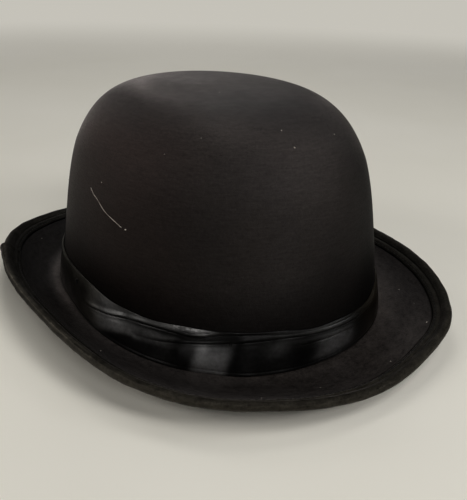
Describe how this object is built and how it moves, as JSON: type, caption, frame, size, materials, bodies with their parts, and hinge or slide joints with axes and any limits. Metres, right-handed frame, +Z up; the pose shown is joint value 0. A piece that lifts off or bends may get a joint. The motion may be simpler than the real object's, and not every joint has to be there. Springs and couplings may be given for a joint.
{
  "type": "bowler hat",
  "caption": "Black cloth-covered bowler hat: stiff domed crown, curled bound brim, satin band with a flat bow, lining and sweatband.",
  "frame": {"origin": "centre of the head opening, on the plane the hat rests on (the flats under the brim at the front and the back)", "axes": "+Z up to the top of the crown; +Y to the back of the hat, so the front is -Y and the long way of the hat lies along Y; +X to the wearer's left, where the bow sits"},
  "size_m": [0.236, 0.2876, 0.123],
  "materials": {
    "crown_cloth": "finely brushed matt cloth with a soft sheen at grazing angles",
    "brim_cloth": "the same brushed cloth, pressed flat",
    "binding_cloth": "matt bias tape, slightly worn along the fold",
    "band_satin": "glossy satin ribbon",
    "lining_satin": "semi-gloss lining satin",
    "cotton_tape": "ribbed matt cotton tape",
    "moulded_core": "stiffened, moulded non-woven cloth",
    "edge_cord": "smooth cord",
    "thread": "polyester sewing thread",
    "label_cloth": "plain woven tape, blank"
  },
  "bodies": {
    "root": {"crown_cover": "crown_cloth", "crown_core": "moulded_core", "crown_seam_tape": "cotton_tape", "lining_side": "lining_satin", "lining_tip": "lining_satin", "sweatband": "cotton_tape", "sweatband_stitching": "thread", "size_label": "label_cloth", "hat_band": "band_satin", "band_tack_front": "thread", "band_tack_right": "thread", "band_tack_back": "thread", "bow_loop_front": "band_satin", "bow_loop_back": "band_satin", "bow_knot": "band_satin", "brim_top_cover": "brim_cloth", "brim_board": "moulded_core", "brim_under_cover": "brim_cloth", "brim_wire": "edge_cord", "brim_binding": "binding_cloth", "binding_stitching_top": "thread", "binding_stitching_under": "thread"}
  },
  "joints": []
}
